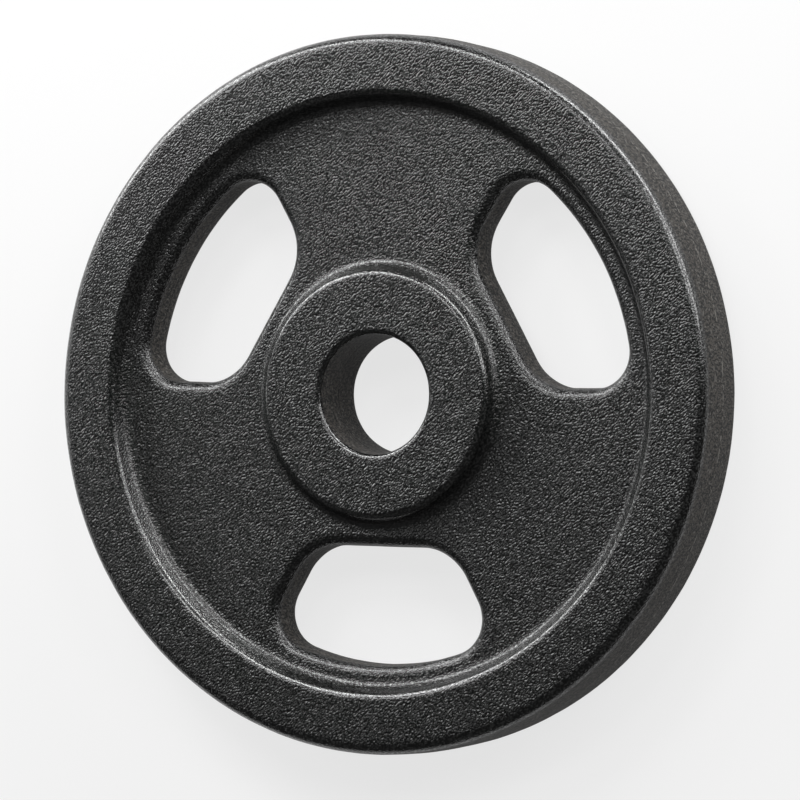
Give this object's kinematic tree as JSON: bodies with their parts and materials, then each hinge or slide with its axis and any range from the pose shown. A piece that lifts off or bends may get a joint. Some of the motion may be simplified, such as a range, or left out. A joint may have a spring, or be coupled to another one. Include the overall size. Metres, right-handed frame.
{
  "type": "weight plate",
  "caption": "Round cast-iron weight plate with a thick rim, a raised hub, a central bore for a bar sleeve and grip holes through its thinner web.",
  "frame": {"origin": "centre of the back rim face, on the axis of the bore", "axes": "+Z along the bore axis from the back face to the front face, -Y through the middle of one grip hole"},
  "size_m": [0.305, 0.305, 0.034],
  "materials": {
    "coated_iron": "black textured enamel on as-cast iron, satin with a fine irregular grain"
  },
  "bodies": {
    "root": {"weight_plate": "coated_iron"}
  },
  "joints": []
}
